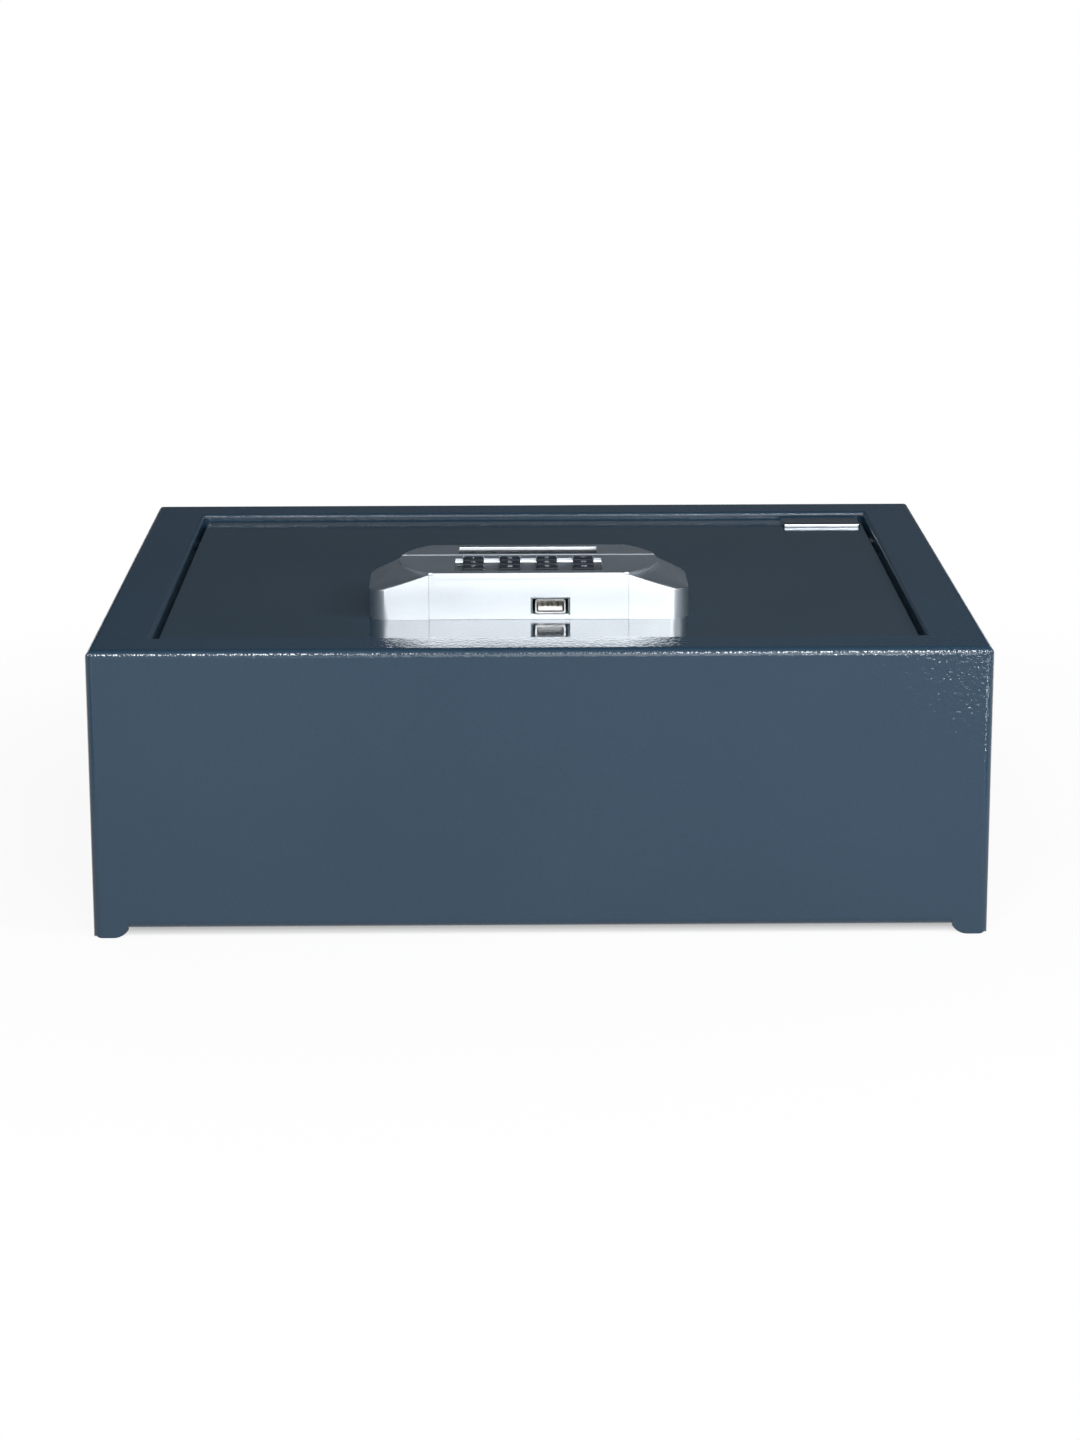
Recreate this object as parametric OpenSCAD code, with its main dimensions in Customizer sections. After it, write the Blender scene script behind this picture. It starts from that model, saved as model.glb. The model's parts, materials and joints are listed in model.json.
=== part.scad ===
// Top-opening drawer safe: a bent steel body, a sunken hinged lid with a moulded keypad lock on it,
// and a motor-driven pair of bolts under the lid. Millimetres, shown shut with the bolts drawn back.
// +X is to the right, +Y is towards the hinge, +Z is up. The origin is on the floor, under the middle
// of the body.

/* [Body] */
// Outer width of the body
body_w = 400; // [380:1:460]
// Outer depth of the body, front to back
body_d = 350; // [335:1:420]
// Height from the floor to the top of the frame
body_h = 131.5; // [126:0.5:200]
// Thickness of the body's steel sheet
wall = 2; // [1.5:0.1:2.6]
// Outer radius of the body's bends
bend_r = 4; // [3.2:0.1:6]
// Height of the corner feet below the bottom
foot_h = 4; // [3:0.5:8]
// Length of a foot along its wall
foot_w = 16; // [14:1:30]
// Width of the flange that carries the base plate
flange_w = 14; // [10:1:20]

/* [Frame] */
// Width of the top frame at the left and the right
frame_side = 27; // [24:1:32]
// Width of the top frame at the front
frame_front = 26; // [22:1:30]
// Width of the top frame at the back
frame_back = 26; // [22:1:34]
// Corner radius of the opening
opening_r = 3; // [2:0.5:6]
// Radius of the opening's upper rim
rim_r = 2; // [1:0.1:2.5]
// Width of the ledge that the lid sits on
ledge_w = 10; // [10:0.5:14]
// Distance from the pivot forward to the ledge's back end
ledge_end = 30; // [28:1:40]

/* [Base] */
// Thickness of the base plate
base_t = 2; // [1.5:0.1:4]
// Distance between the anchor holes, left to right
anchor_x = 280; // [200:1:300]
// Distance between the anchor holes, front to back
anchor_y = 230; // [160:1:250]
// Radius of an anchor hole
anchor_r = 6; // [4:0.5:8]
// Thickness of the floor mat
mat_t = 2; // [1:0.5:5]
// Gap between the floor mat and the walls
mat_gap = 6; // [4.5:0.5:12]

/* [Lid] */
// Thickness of the lid
lid_t = 4; // [3:0.5:6]
// Depth of the lid's surface below the top of the frame
lid_drop = 4; // [3:0.5:8]
// Gap around the lid at the front and the sides
lid_gap = 2; // [1.5:0.1:3]
// Gap behind the lid
lid_back_gap = 3; // [2.8:0.1:4]
// Corner radius of the lid
lid_r = 2; // [1:0.5:5]
// Height of the rubber buffers under the lid
buffer_h = 1.7; // [1:0.1:4]
// Radius of the rubber buffers
buffer_r = 4; // [3:0.5:4.5]

/* [Hinge] */
// Depth of the pivot below the lid's underside
pivot_drop = 5; // [5:0.1:5.5]
// Distance from the pivot to the back edge of the opening
pivot_in = 19; // [19:0.5:24]
// Radius of a hinge pin
pin_r = 2.5; // [2:0.1:2.8]
// Running clearance of a pin in its lug
pin_play = 0.05; // [0.02:0.01:0.1]
// Thickness of a bracket and of a lug
hinge_t = 4; // [3:0.5:5]
// Length of a bracket's arm in front of its pin
arm_l = 50; // [44:1:60]
// Opening angle of the lid
lid_open = 100; // [95:1:104]

/* [Bolts] */
// Radius of a live bolt
bolt_r = 8; // [6:0.5:8.5]
// Distance between the two bolts
bolt_span = 120; // [100:1:130]
// Travel of the bolts
bolt_throw = 15; // [12:0.5:16]
// Running clearance of a bolt in its guide
bolt_play = 0.05; // [0.02:0.01:0.1]
// Thickness of the bolt guide's sheet
guide_t = 2.5; // [2:0.1:3]
// Length of the bolt guide, front to back
guide_l = 41.5; // [40:0.5:48]
// Module of the rack and the pinion
gear_m = 1; // [0.9:0.05:1.1]
// Number of teeth on the pinion
pinion_teeth = 12; // [12:1:13]
// Width of the pinion
pinion_w = 5; // [4:0.5:6]

/* [Mechanism cover] */
// Width of the cover
cover_w = 200; // [196:1:216]
// Depth of the cover below the lid
cover_h = 36; // [36:0.5:44]
// Wall of the cover
cover_wall = 1.5; // [1.2:0.1:2]
// Distance from the front of the opening to the cover's front
cover_front = 20; // [19.5:0.5:22]
// Length of the cover, front to back
cover_l = 119; // [119:1:130]
// Radius of a battery
cell_r = 7.1; // [5.2:0.1:7.2]
// Length of a battery without its button
cell_l = 49.5; // [43:0.5:50]

/* [Lock] */
// Place of the lock's middle, left or right of the body's middle
lock_x = -4.4; // [-10:0.1:10]
// Distance from the body's front face to the lock's front
lock_in = 79.5; // [76:0.5:86]
// Width of the lock housing
lock_w = 147.5; // [146:0.5:156]
// Depth of the lock housing, front to back
lock_d = 72; // [72:0.5:80]
// Height of the lock housing at its outer edge
lock_edge_h = 13.8; // [12:0.1:16]
// Height of the lock's top face above the lid
lock_h = 22; // [22:0.1:26]
// Height of the step round the raised oval
oval_step = 1.1; // [0.8:0.1:1.6]
// Width of the raised oval
oval_w = 120.5; // [118:0.5:124]
// Depth of the raised oval, front to back
oval_d = 65; // [65:0.5:68]
// Width of the front fascia between its two seams
fascia_w = 92; // [88:1:94]
// Wall of the mouldings
skin = 2; // [1.6:0.1:2.2]
// Height of the lip over the fascia
lip_h = 2.6; // [2:0.1:3.5]
// Distance that the lip stands out
lip_out = 1.2; // [0.4:0.1:1.5]
// Distance from the lock's front to the split in the oval
split_v = 41.6; // [41.6:0.1:43]

/* [Keypad] */
// Width of a key
key_w = 9.4; // [8:0.1:11]
// Depth of a key
key_d = 7.5; // [6:0.1:8]
// Distance between key columns
key_px = 17.1; // [15:0.1:17.4]
// Distance between key rows
key_py = 10; // [9.2:0.1:10]
// Distance from the lock's front to the middle row
key_mid = 24; // [23.5:0.1:24.5]
// Gap round a key in its hole
key_gap = 0.2; // [0.15:0.05:0.4]
// Height of a key above the recess floor
key_up = 2.1; // [1.6:0.1:2.4]
// Travel of a key
key_travel = 1; // [0.5:0.1:1.2]
// Depth of the keypad recess
recess_h = 1.9; // [1.4:0.1:2]
// Width of the keypad recess
recess_w = 68; // [66:0.5:76]

/* [Display and port] */
// Width of the display window
window_w = 65; // [55:0.5:70]
// Depth of the display window, front to back
window_d = 15; // [12:0.5:15.5]
// Distance from the lock's front to the middle of the window
window_v = 52; // [51.8:0.1:52.2]
// Depth of the window below the top
window_sink = 1.3; // [0.8:0.1:1.8]
// Place of the port's middle, right of the lock's middle
port_x = 9.9; // [-20:0.1:20]
// Height of the port's middle above the lid
port_z = 6; // [6:0.1:8]
// Width of the metal shell of the port
port_w = 13.1; // [13.1:0.1:13.3]
// Height of the metal shell of the port
port_h = 5.7; // [5.7:0.1:5.8]

/* [Name plate] */
// Width of the bare plate
plate_w = 40; // [30:1:60]
// Depth of the bare plate
plate_d = 18; // [12:1:25]
// Thickness of the bare plate
plate_t = 2; // [1:0.1:3]
// Distance from the plate to the lid's right edge
plate_side = 1.5; // [1:0.5:10]
// Distance from the plate to the lid's back edge
plate_back = 2; // [1.5:0.5:10]

/* [Hidden] */

// Colours of the object
paint = [0.26, 0.33, 0.39];
silver = [0.78, 0.81, 0.84];
steel = [0.62, 0.64, 0.66];
black = [0.08, 0.09, 0.10];
green = [0.05, 0.25, 0.14];

// Resting gap between pieces that move past each other, and overshoot of a cut
seat = 0.3;
cut = 1;
// Steps in the arc of a small bend and of a large curve
fine = 6;
$fn = 48;

// Levels of the body and the lid
lid_top = body_h - lid_drop;
lid_bot = lid_top - lid_t;
ledge_top = lid_bot - seat - buffer_h;
ledge_bot = ledge_top - wall;
base_z = foot_h + wall;
mat_z = base_z + base_t;

// The opening in the frame and the lid in it
open_x = body_w / 2 - frame_side;
open_y0 = -body_d / 2 + frame_front;
open_y1 = body_d / 2 - frame_back;
lid_x = open_x - lid_gap;
lid_y0 = open_y0 + lid_gap;
lid_y1 = open_y1 - lid_back_gap;

// The hinge
pivot_y = open_y1 - pivot_in;
pivot_z = lid_bot - pivot_drop;
bracket_x = lid_x - hinge_t;
lug_x = bracket_x - seat - hinge_t;
eye_r = pivot_drop - seat;

// The bolt work, from the bolts' tips backwards
tip_in = 2.5;
tip_y = open_y0 + ledge_w + tip_in;
bolt_z = ledge_bot - 0.5 - bolt_r;
guide_x = bolt_span / 2 + bolt_r + 12;
guide_y0 = tip_y + tip_in;
guide_y1 = guide_y0 + guide_l;
bolt_l = 2 * tip_in + guide_l + bolt_throw;
bar_t = 3;
bar_y = guide_y0 + guide_t + bolt_throw + 6.5;
pitch_r = gear_m * pinion_teeth / 2;
pinion_y = guide_y1 + 20.5;
pitch_z = bolt_z - 6.5;
pinion_z = pitch_z - pitch_r;
rack_w = 4;
rack_addendum = 0.65 * gear_m;
backlash = 0.12;
rack_y0 = pinion_y - 6;
rack_y1 = pinion_y + bolt_throw + 5;

// The gearmotor, a flattened can behind its gearbox
motor_w = 12;
motor_h = 10;
gearbox_l = 9;
can_l = 15;
shaft_r = 1.5;
motor_x = pinion_w / 2 + 2.5;

// The cover and the batteries
cover_y0 = open_y0 + cover_front;
cover_y1 = cover_y0 + cover_l;
cover_z = lid_bot - cover_h;
cells = 4;
cell_pitch = 2 * cell_r + 0.6;
tray_wall = 1.2;
tray_in_x = cells * cell_pitch;
tray_in_y = cell_l + 6;
tray_x = -cover_w / 2 + cover_wall + 0.2 + tray_wall + tray_in_x / 2;
tray_z = cover_z + cover_wall;
tray_in_h = 2 * cell_r + 0.9;
door_t = 1.5;
door_w = tray_in_x + 4;
door_d = tray_in_y + 6;
rail = 2;
tray_y = cover_y1 - rail - seat - door_d / 2;

// The lock: its local frame has u to the right, v backwards from its front and w up from the lid
lock_y = -body_d / 2 + lock_in;
side_r = 50;
corner_r = 9;
rim_w = lock_h - oval_step;
oval_flat = 46;
plug_in = 4.2;
plug_z = rim_w - 2;
board_z = 12;
board_t = 1.6;
board_u = lock_w / 2 - 24;
board_v = [7, lock_d - 12];
key_flange = 1.2;
floor_z = lock_h - recess_h;
key_bot = plug_z - seat - key_flange;
mat_h = key_bot - key_travel - seat - board_z - board_t;
recess_v0 = key_mid - 19;
recess_v1 = key_mid + 9;
recess_r = 0.8;
boss_u = lock_w / 2 - 10;
boss_v = [24, 46];
port_wall = 0.3;
port_l = 14;
ribbon_u = 30;
ribbon_v = 40;
key_names = [["key_1", "key_2", "key_3", "key_star"], ["key_4", "key_5", "key_6", "key_0"],
  ["key_7", "key_8", "key_9", "key_hash"]];

// Points of an arc about (x, y), from angle a0 to a1 in n steps
function arc(x, y, r, a0, a1, n) =
  [for (i = [0:n]) [x + r * cos(a0 + (a1 - a0) * i / n), y + r * sin(a0 + (a1 - a0) * i / n)]];

// Rectangle from (x0, y0) to (x1, y1) with corner radii: r0 at the low side, r1 at the high side
function round_box(x0, y0, x1, y1, r0, r1) = concat(
  arc(x0 + r0, y0 + r0, r0, 180, 270, fine), arc(x1 - r0, y0 + r0, r0, 270, 360, fine),
  arc(x1 - r1, y1 - r1, r1, 0, 90, fine), arc(x0 + r1, y1 - r1, r1, 90, 180, fine));

// Lays a profile drawn in (y, z) along X, from x0 to x1
module along_x(x0, x1) {
  translate([x0, 0, 0]) rotate([90, 0, 90]) linear_extrude(x1 - x0) children();
}

// Lays a profile drawn in (x, z) along Y, from y0 to y1
module along_y(y0, y1) {
  translate([0, y1, 0]) rotate([90, 0, 0]) linear_extrude(y1 - y0) children();
}

// A block from corner to corner
module block(a, b) {
  translate(a) cube(b - a);
}

// A cylinder along X from x0 to x1 at (y, z)
module rod_x(x0, x1, y, z, r) {
  translate([x0, y, z]) rotate([0, 90, 0]) cylinder(h = x1 - x0, r = r);
}

// A cylinder along Y from y0 to y1 at (x, z)
module rod_y(y0, y1, x, z, r) {
  translate([x, y1, z]) rotate([90, 0, 0]) cylinder(h = y1 - y0, r = r);
}

// Copies children to the left side too
module both_sides() {
  children();
  mirror([1, 0, 0]) children();
}

// The body's block with every edge bent, drawn in by d
module bent_block(d) {
  hx = body_w / 2 - d;
  hy = body_d / 2 - d;
  r = bend_r - d;
  intersection() {
    translate([0, 0, foot_h + d]) linear_extrude(body_h - foot_h - 2 * d)
      polygon(round_box(-hx, -hy, hx, hy, r, r));
    along_y(-hy - cut, hy + cut) polygon(round_box(-hx, foot_h + d, hx, body_h - d, r, r));
    along_x(-hx - cut, hx + cut) polygon(round_box(-hy, foot_h + d, hy, body_h - d, r, r));
  }
}

// The opening, grown by g
module opening_plan(g) {
  polygon(round_box(-open_x - g, open_y0 - g, open_x + g, open_y1 + g, opening_r + g,
    opening_r + g));
}

// What the rolled rim takes off one side of the opening: a profile with the corner at the origin
module rim_cut() {
  polygon(concat([[-cut, cut], [-cut, -rim_r]], arc(rim_r, -rim_r, rim_r, 180, 90, fine),
    [[rim_r, cut]]));
}

// One foot: the sheet's tongue in its own plane, with its outer corner at the origin
module foot_profile() {
  tall = foot_h + bend_r + 0.5;
  r_out = min(foot_h, 3.8);
  r_in = foot_w * 0.5;
  reach = acos(max(0, 1 - foot_h / r_in));
  polygon(concat([[0, tall]], arc(r_out, r_out, r_out, 180, 270, fine),
    arc(foot_w - r_in * sin(reach), r_in, r_in, 270, 270 + reach, fine), [[foot_w, tall]]));
}

// The wall's ring, from the floor to above the bends, as wide as the sheet
module foot_ring() {
  hx = body_w / 2;
  hy = body_d / 2;
  difference() {
    linear_extrude(foot_h + bend_r + 0.5) polygon(round_box(-hx, -hy, hx, hy, bend_r, bend_r));
    translate([0, 0, -cut]) linear_extrude(foot_h + bend_r + 3)
      polygon(round_box(-hx + wall, -hy + wall, hx - wall, hy - wall, bend_r - wall,
        bend_r - wall));
  }
}

module feet() {
  intersection() {
    foot_ring();
    both_sides() for (s = [-1, 1]) {
      scale([1, s, 1]) translate([-body_w / 2, 0, 0])
        along_y(-body_d / 2 - cut, -body_d / 2 + bend_r) foot_profile();
      scale([1, s, 1]) translate([0, -body_d / 2, 0])
        along_x(-body_w / 2 - cut, -body_w / 2 + bend_r) foot_profile();
    }
  }
}

// The ledge at the front and the sides, which stops short of the hinge
module ledge() {
  translate([0, 0, ledge_bot]) linear_extrude(wall) difference() {
    opening_plan(wall / 2);
    translate([-open_x + ledge_w, open_y0 + ledge_w])
      square([2 * (open_x - ledge_w), body_d]);
    translate([-body_w / 2, pivot_y - ledge_end]) square([body_w, body_d]);
  }
}

module body_shell() {
  color(paint) union() {
    difference() {
      bent_block(0);
      bent_block(wall);
      block([-body_w / 2 + flange_w, -body_d / 2 + flange_w, foot_h - cut],
        [body_w / 2 - flange_w, body_d / 2 - flange_w, foot_h + wall + cut]);
      translate([0, 0, body_h - wall - cut]) linear_extrude(wall + 2 * cut) opening_plan(0);
      rim_cuts();
    }
    difference() {
      translate([0, 0, ledge_bot]) linear_extrude(body_h - wall / 2 - ledge_bot)
        opening_plan(wall);
      translate([0, 0, ledge_bot - cut]) linear_extrude(body_h) opening_plan(0);
      rim_cuts();
    }
    ledge();
    feet();
  }
}

// What the rim takes off the two sides of the opening, and off its front and back, longer by e
module side_rims(e) {
  both_sides() translate([open_x, 0, body_h]) along_y(open_y0 - e, open_y1 + e) rim_cut();
}

module end_rims(e) {
  translate([0, open_y1, body_h]) along_x(-open_x - e, open_x + e) rim_cut();
  translate([0, open_y0, body_h]) mirror([0, 1, 0]) along_x(-open_x - e, open_x + e) rim_cut();
}

module rim_cuts() {
  side_rims(0);
  end_rims(0);
  intersection() {
    side_rims(rim_r);
    end_rims(rim_r);
  }
}

// The four anchor places
module at_anchors() {
  for (sx = [-1, 1], sy = [-1, 1]) translate([sx * anchor_x / 2, sy * anchor_y / 2, 0]) children();
}

module base_plate() {
  hx = body_w / 2 - bend_r;
  hy = body_d / 2 - bend_r;
  color(paint) difference() {
    translate([0, 0, base_z]) linear_extrude(base_t)
      polygon(round_box(-hx, -hy, hx, hy, 1, 1));
    at_anchors() translate([0, 0, foot_h]) cylinder(h = 3 * base_t + wall, r = anchor_r);
  }
}

module floor_mat() {
  hx = body_w / 2 - mat_gap;
  hy = body_d / 2 - mat_gap;
  color([0.12, 0.13, 0.15]) difference() {
    translate([0, 0, mat_z]) linear_extrude(mat_t) polygon(round_box(-hx, -hy, hx, hy, 3, 3));
    at_anchors() translate([0, 0, mat_z - cut]) cylinder(h = mat_t + 2 * cut, r = anchor_r + 4);
  }
}

// Side view of a bracket's arm about its pin, with the heel that stops the open lid
module arm_profile() {
  heel = [for (t = [8, 14]) [eye_r * sin(lid_open) + t * cos(lid_open),
    eye_r * cos(lid_open) - t * sin(lid_open)]];
  polygon([[-arm_l, ledge_bot - pivot_z], [0, ledge_bot - pivot_z], [0, -pin_r - 1],
    heel[0], heel[1], [-8, heel[1][1]], [-ledge_end, -9], [-arm_l, -9]]);
}

module hinge_bracket_right() {
  color(steel) translate([0, pivot_y, pivot_z]) difference() {
    union() {
      rod_x(bracket_x, bracket_x + hinge_t, 0, 0, eye_r);
      along_x(bracket_x, bracket_x + hinge_t) arm_profile();
    }
    rod_x(bracket_x - cut, bracket_x + hinge_t + cut, 0, 0, pin_r);
  }
}

module hinge_bracket_left() {
  mirror([1, 0, 0]) hinge_bracket_right();
}

// The pins: a flat head inside the lug, and a shank that is riveted in the bracket
module hinge_pins() {
  color(steel) both_sides() {
    rod_x(lug_x - seat, bracket_x + hinge_t, pivot_y, pivot_z, pin_r);
    rod_x(lug_x - seat - 2, lug_x - seat, pivot_y, pivot_z, eye_r - 0.2);
  }
}

module lid_buffers() {
  color(black) both_sides() for (y = [open_y0 + 2.2 * ledge_w, pivot_y - ledge_end - 20])
    translate([open_x - ledge_w / 2, y, ledge_top]) cylinder(h = buffer_h, r = buffer_r);
}

// Places where the cover's ears are screwed to the lid
module at_cover_screws() {
  for (sx = [-1, 1], y = [cover_y0 + 14, cover_y1 - 14])
    translate([sx * (cover_w / 2 + 6), y, 0]) children();
}

// Places of the screws that hold the lock housing
module at_bosses() {
  for (s = [-1, 1], v = boss_v) translate([s * boss_u, v, 0]) children();
}

// Moves what is drawn about the lock's front middle to its place on the lid
module on_lock() {
  translate([lock_x, lock_y, lid_top]) children();
}

module lid_plate() {
  color(paint) difference() {
    translate([0, 0, lid_bot]) linear_extrude(lid_t)
      polygon(round_box(-lid_x, lid_y0, lid_x, lid_y1, lid_r, lid_r));
    on_lock() at_bosses() translate([0, 0, -lid_t - cut]) cylinder(h = lid_t + 2 * cut, r = 1.8);
    on_lock() block([ribbon_u - 8, ribbon_v - 4, -lid_t - cut],
      [ribbon_u + 8, ribbon_v + 4, cut]);
    at_cover_screws() translate([0, 0, lid_bot - cut]) cylinder(h = cut + lid_t - 0.8, r = 2);
  }
}

module hinge_lug_right() {
  color(paint) translate([0, pivot_y, pivot_z]) along_x(lug_x, lug_x + hinge_t) difference() {
    union() {
      circle(r = pivot_drop);
      translate([-10, 0]) square([18, pivot_drop]);
    }
    circle(r = pin_r + pin_play);
  }
}

module hinge_lug_left() {
  mirror([1, 0, 0]) hinge_lug_right();
}

// A bare plate with bevelled edges, on the lid's back right corner
module name_plate() {
  bevel = 0.6;
  x1 = lid_x - plate_side;
  y1 = lid_y1 - plate_back;
  x0 = x1 - plate_w;
  y0 = y1 - plate_d;
  t = plate_t;
  color([0.85, 0.86, 0.88]) translate([0, 0, lid_top]) intersection() {
    linear_extrude(t) polygon(round_box(x0, y0, x1, y1, 1, 1));
    along_y(y0 - cut, y1 + cut) polygon([[x0, 0], [x1, 0], [x1, t - bevel], [x1 - bevel, t],
      [x0 + bevel, t], [x0, t - bevel]]);
    along_x(x0 - cut, x1 + cut) polygon([[y0, 0], [y1, 0], [y1, t - bevel], [y1 - bevel, t],
      [y0 + bevel, t], [y0, t - bevel]]);
  }
}

// Right half of the lock's outline, drawn in by d: a round front corner and a long curved side
function lock_half(d) = let(
    side_u = lock_w / 2 - side_r,
    mid = lock_d / 2,
    last = asin((mid - d) / (side_r - d)))
  concat(arc(lock_w / 2 - corner_r, corner_r, corner_r - d, 270, 360, 8),
    arc(side_u, mid, side_r - d, 0, last, 8));

// Right half of the raised oval, drawn in by d: flat front and back, and a round end
function oval_half(d) = let(
    bulge = oval_w / 2 - oval_flat,
    r = (oval_d * oval_d / 4 + bulge * bulge) / (2 * bulge),
    a = asin((oval_d / 2 - d) / (r - d)))
  arc(oval_w / 2 - r, oval_d / 2, r - d, -a, a, 16);

// A half outline with its mirror image
function whole(half) = concat(half, [for (i = [len(half) - 1:-1:0]) [-half[i][0], half[i][1]]]);

// The housing's form, drawn in by d: sloping shoulders from the oval's edge down to the outline
module lock_form(d) {
  hull() {
    translate([0, 0, d == 0 ? 0 : -cut]) linear_extrude(lock_edge_h - d / 2 + (d == 0 ? 0 : cut))
      polygon(whole(lock_half(d)));
    translate([0, 0, cut]) linear_extrude(rim_w - d - cut) polygon(whole(oval_half(d)));
  }
}

module lock_housing() {
  color(silver) on_lock() difference() {
    union() {
      difference() {
        lock_form(0);
        lock_form(skin);
      }
      intersection() {
        lock_form(skin / 2);
        at_bosses() cylinder(h = lock_h, r = 3.5);
      }
    }
    at_bosses() translate([0, 0, -cut]) cylinder(h = 10 + cut, r = 1.5);
    translate([0, 0, plug_z - 4]) linear_extrude(lock_h) polygon(whole(oval_half(plug_in - 0.2)));
    block([-fascia_w / 2, -cut, -cut], [fascia_w / 2, skin + 0.1, lock_h]);
  }
}

module housing_screws() {
  color(steel) on_lock() at_bosses() {
    translate([0, 0, -lid_t - 2.2]) cylinder(h = 2.2, r = 2.8);
    translate([0, 0, -lid_t]) cylinder(h = lid_t + 8, r = 1.5);
  }
}

// The port's cut-out in the fascia: a bevelled frame round a plain hole
module port_hole() {
  rim_u = 18.1;
  rim_w2 = 8.6;
  hole_u = 16.3;
  hole_w = 7;
  deep = 0.8;
  translate([port_x, 0, port_z]) {
    block([-hole_u / 2, -cut, -hole_w / 2], [hole_u / 2, skin + cut, hole_w / 2]);
    intersection() {
      along_x(-rim_u, rim_u) polygon([[0, -rim_w2 / 2], [deep, -hole_w / 2], [deep, hole_w / 2],
        [0, rim_w2 / 2]]);
      linear_extrude(2 * rim_w2, center = true) polygon([[-rim_u / 2, 0], [-hole_u / 2, deep],
        [hole_u / 2, deep], [rim_u / 2, 0]]);
    }
  }
}

module front_fascia() {
  side = fascia_w / 2 - 0.05;
  shelf = port_z - port_h / 2 - board_t;
  color(silver) on_lock() difference() {
    union() {
      block([-side, 0, 0], [side, skin, rim_w - 0.1]);
      block([port_x - 11, skin / 2, 0], [port_x + 11, skin + 10, shelf]);
    }
    port_hole();
  }
}

// Places of the keys, by row from the back and by column from the left
module at_key(row, col) {
  translate([(col - 1.5) * key_px, key_mid + (1 - row) * key_py, 0]) children();
}

// One half of the raised oval, as a plate on the rim with a plug in the housing's opening
module oval_panel(v0, v1, top) {
  intersection() {
    union() {
      translate([0, 0, rim_w]) linear_extrude(top - rim_w) polygon(whole(oval_half(0)));
      translate([0, 0, plug_z]) linear_extrude(2.05) polygon(whole(oval_half(plug_in)));
    }
    block([-oval_w, v0, 0], [oval_w, v1, 2 * lock_h]);
  }
}

// The recess: a flat floor, and a back wall with a rounded foot between the keys of the back row
module recess_profile() {
  polygon(concat([[recess_v0, lock_h + cut], [recess_v0, floor_z]],
    arc(recess_v1 - recess_r, floor_z + recess_r, recess_r, 270, 360, fine),
    [[recess_v1, lock_h + cut]]));
}

module keypad_panel() {
  color(silver) on_lock() difference() {
    union() {
      oval_panel(0, split_v - 0.2, lock_h);
      block([-oval_flat + 1.9, -lip_out, lock_h - lip_h], [oval_flat - 1.9, 0, lock_h]);
    }
    along_x(-recess_w / 2, recess_w / 2) recess_profile();
    for (row = [0:2], col = [0:3]) at_key(row, col) {
      hu = key_w / 2 + key_gap;
      hv = key_d / 2 + key_gap;
      block([-hu, -hv, plug_z - cut], [hu, hv, lock_h + cut]);
    }
    translate([-recess_w / 2 + 1.8, key_mid, plug_z - cut]) cylinder(h = 6, r = 1);
  }
}

module display_panel() {
  top = lock_h + 0.2;
  glass_z = top - window_sink;
  color(silver) on_lock() difference() {
    oval_panel(split_v + 0.2, oval_d + cut, top);
    block([-window_w / 2, window_v - window_d / 2, glass_z - 1.5],
      [window_w / 2, window_v + window_d / 2, lock_h + cut]);
    block([-window_w / 2 + 2, window_v - window_d / 2 + 2, plug_z - cut],
      [window_w / 2 - 2, window_v + window_d / 2 - 2, lock_h + cut]);
  }
}

module display_window() {
  glass_z = lock_h + 0.2 - window_sink;
  color(black) on_lock() block([-window_w / 2 + 0.15, window_v - window_d / 2 + 0.15,
    glass_z - 1.5], [window_w / 2 - 0.15, window_v + window_d / 2 - 0.15, glass_z]);
}

module display_module() {
  z0 = board_z + board_t;
  z1 = plug_z - seat;
  hu = window_w / 2 - 11.5;
  hv = window_d / 2 - 2.3;
  color([0.75, 0.75, 0.72]) on_lock() block([-hu, window_v - hv, z0], [hu, window_v + hv, z1]);
}

module circuit_board() {
  color(green) on_lock() difference() {
    translate([0, 0, board_z]) linear_extrude(board_t)
      polygon(round_box(-board_u, board_v[0], board_u, board_v[1], 2, 2));
    at_standoffs() translate([0, 0, board_z - cut]) cylinder(h = board_t + 2 * cut, r = 1.6);
  }
}

module at_standoffs() {
  for (s = [-1, 1], v = [board_v[0] + 4, board_v[1] - 4])
    translate([s * (board_u - 4.5), v, 0]) children();
}

// Spacers with a spigot through the board
module board_standoffs() {
  color(steel) on_lock() at_standoffs() {
    cylinder(h = board_z, r = 2.6);
    cylinder(h = board_z + board_t + 1, r = 1.6);
  }
}

module keypad_mat() {
  z0 = board_z + board_t;
  color([0.35, 0.36, 0.38]) on_lock() difference() {
    translate([0, 0, z0]) linear_extrude(mat_h)
      polygon(round_box(-recess_w / 2 - 3, key_mid - 16, recess_w / 2 + 3, key_mid + 16, 2, 2));
    translate([-recess_w / 2 + 1.8, key_mid, z0 - cut]) cylinder(h = mat_h + 2 * cut, r = 1.5);
  }
}

module status_lamp() {
  color([0.2, 0.6, 0.3]) on_lock() translate([-recess_w / 2 + 1.8, key_mid, board_z + board_t])
    cylinder(h = floor_z + 0.4 - board_z - board_t, r = 0.9);
}

module buzzer() {
  color(black) on_lock() translate([-30, 30, board_z - 6]) difference() {
    cylinder(h = 6, r = 6);
    translate([0, 0, -cut]) cylinder(h = cut + 1, r = 1);
  }
}

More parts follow.
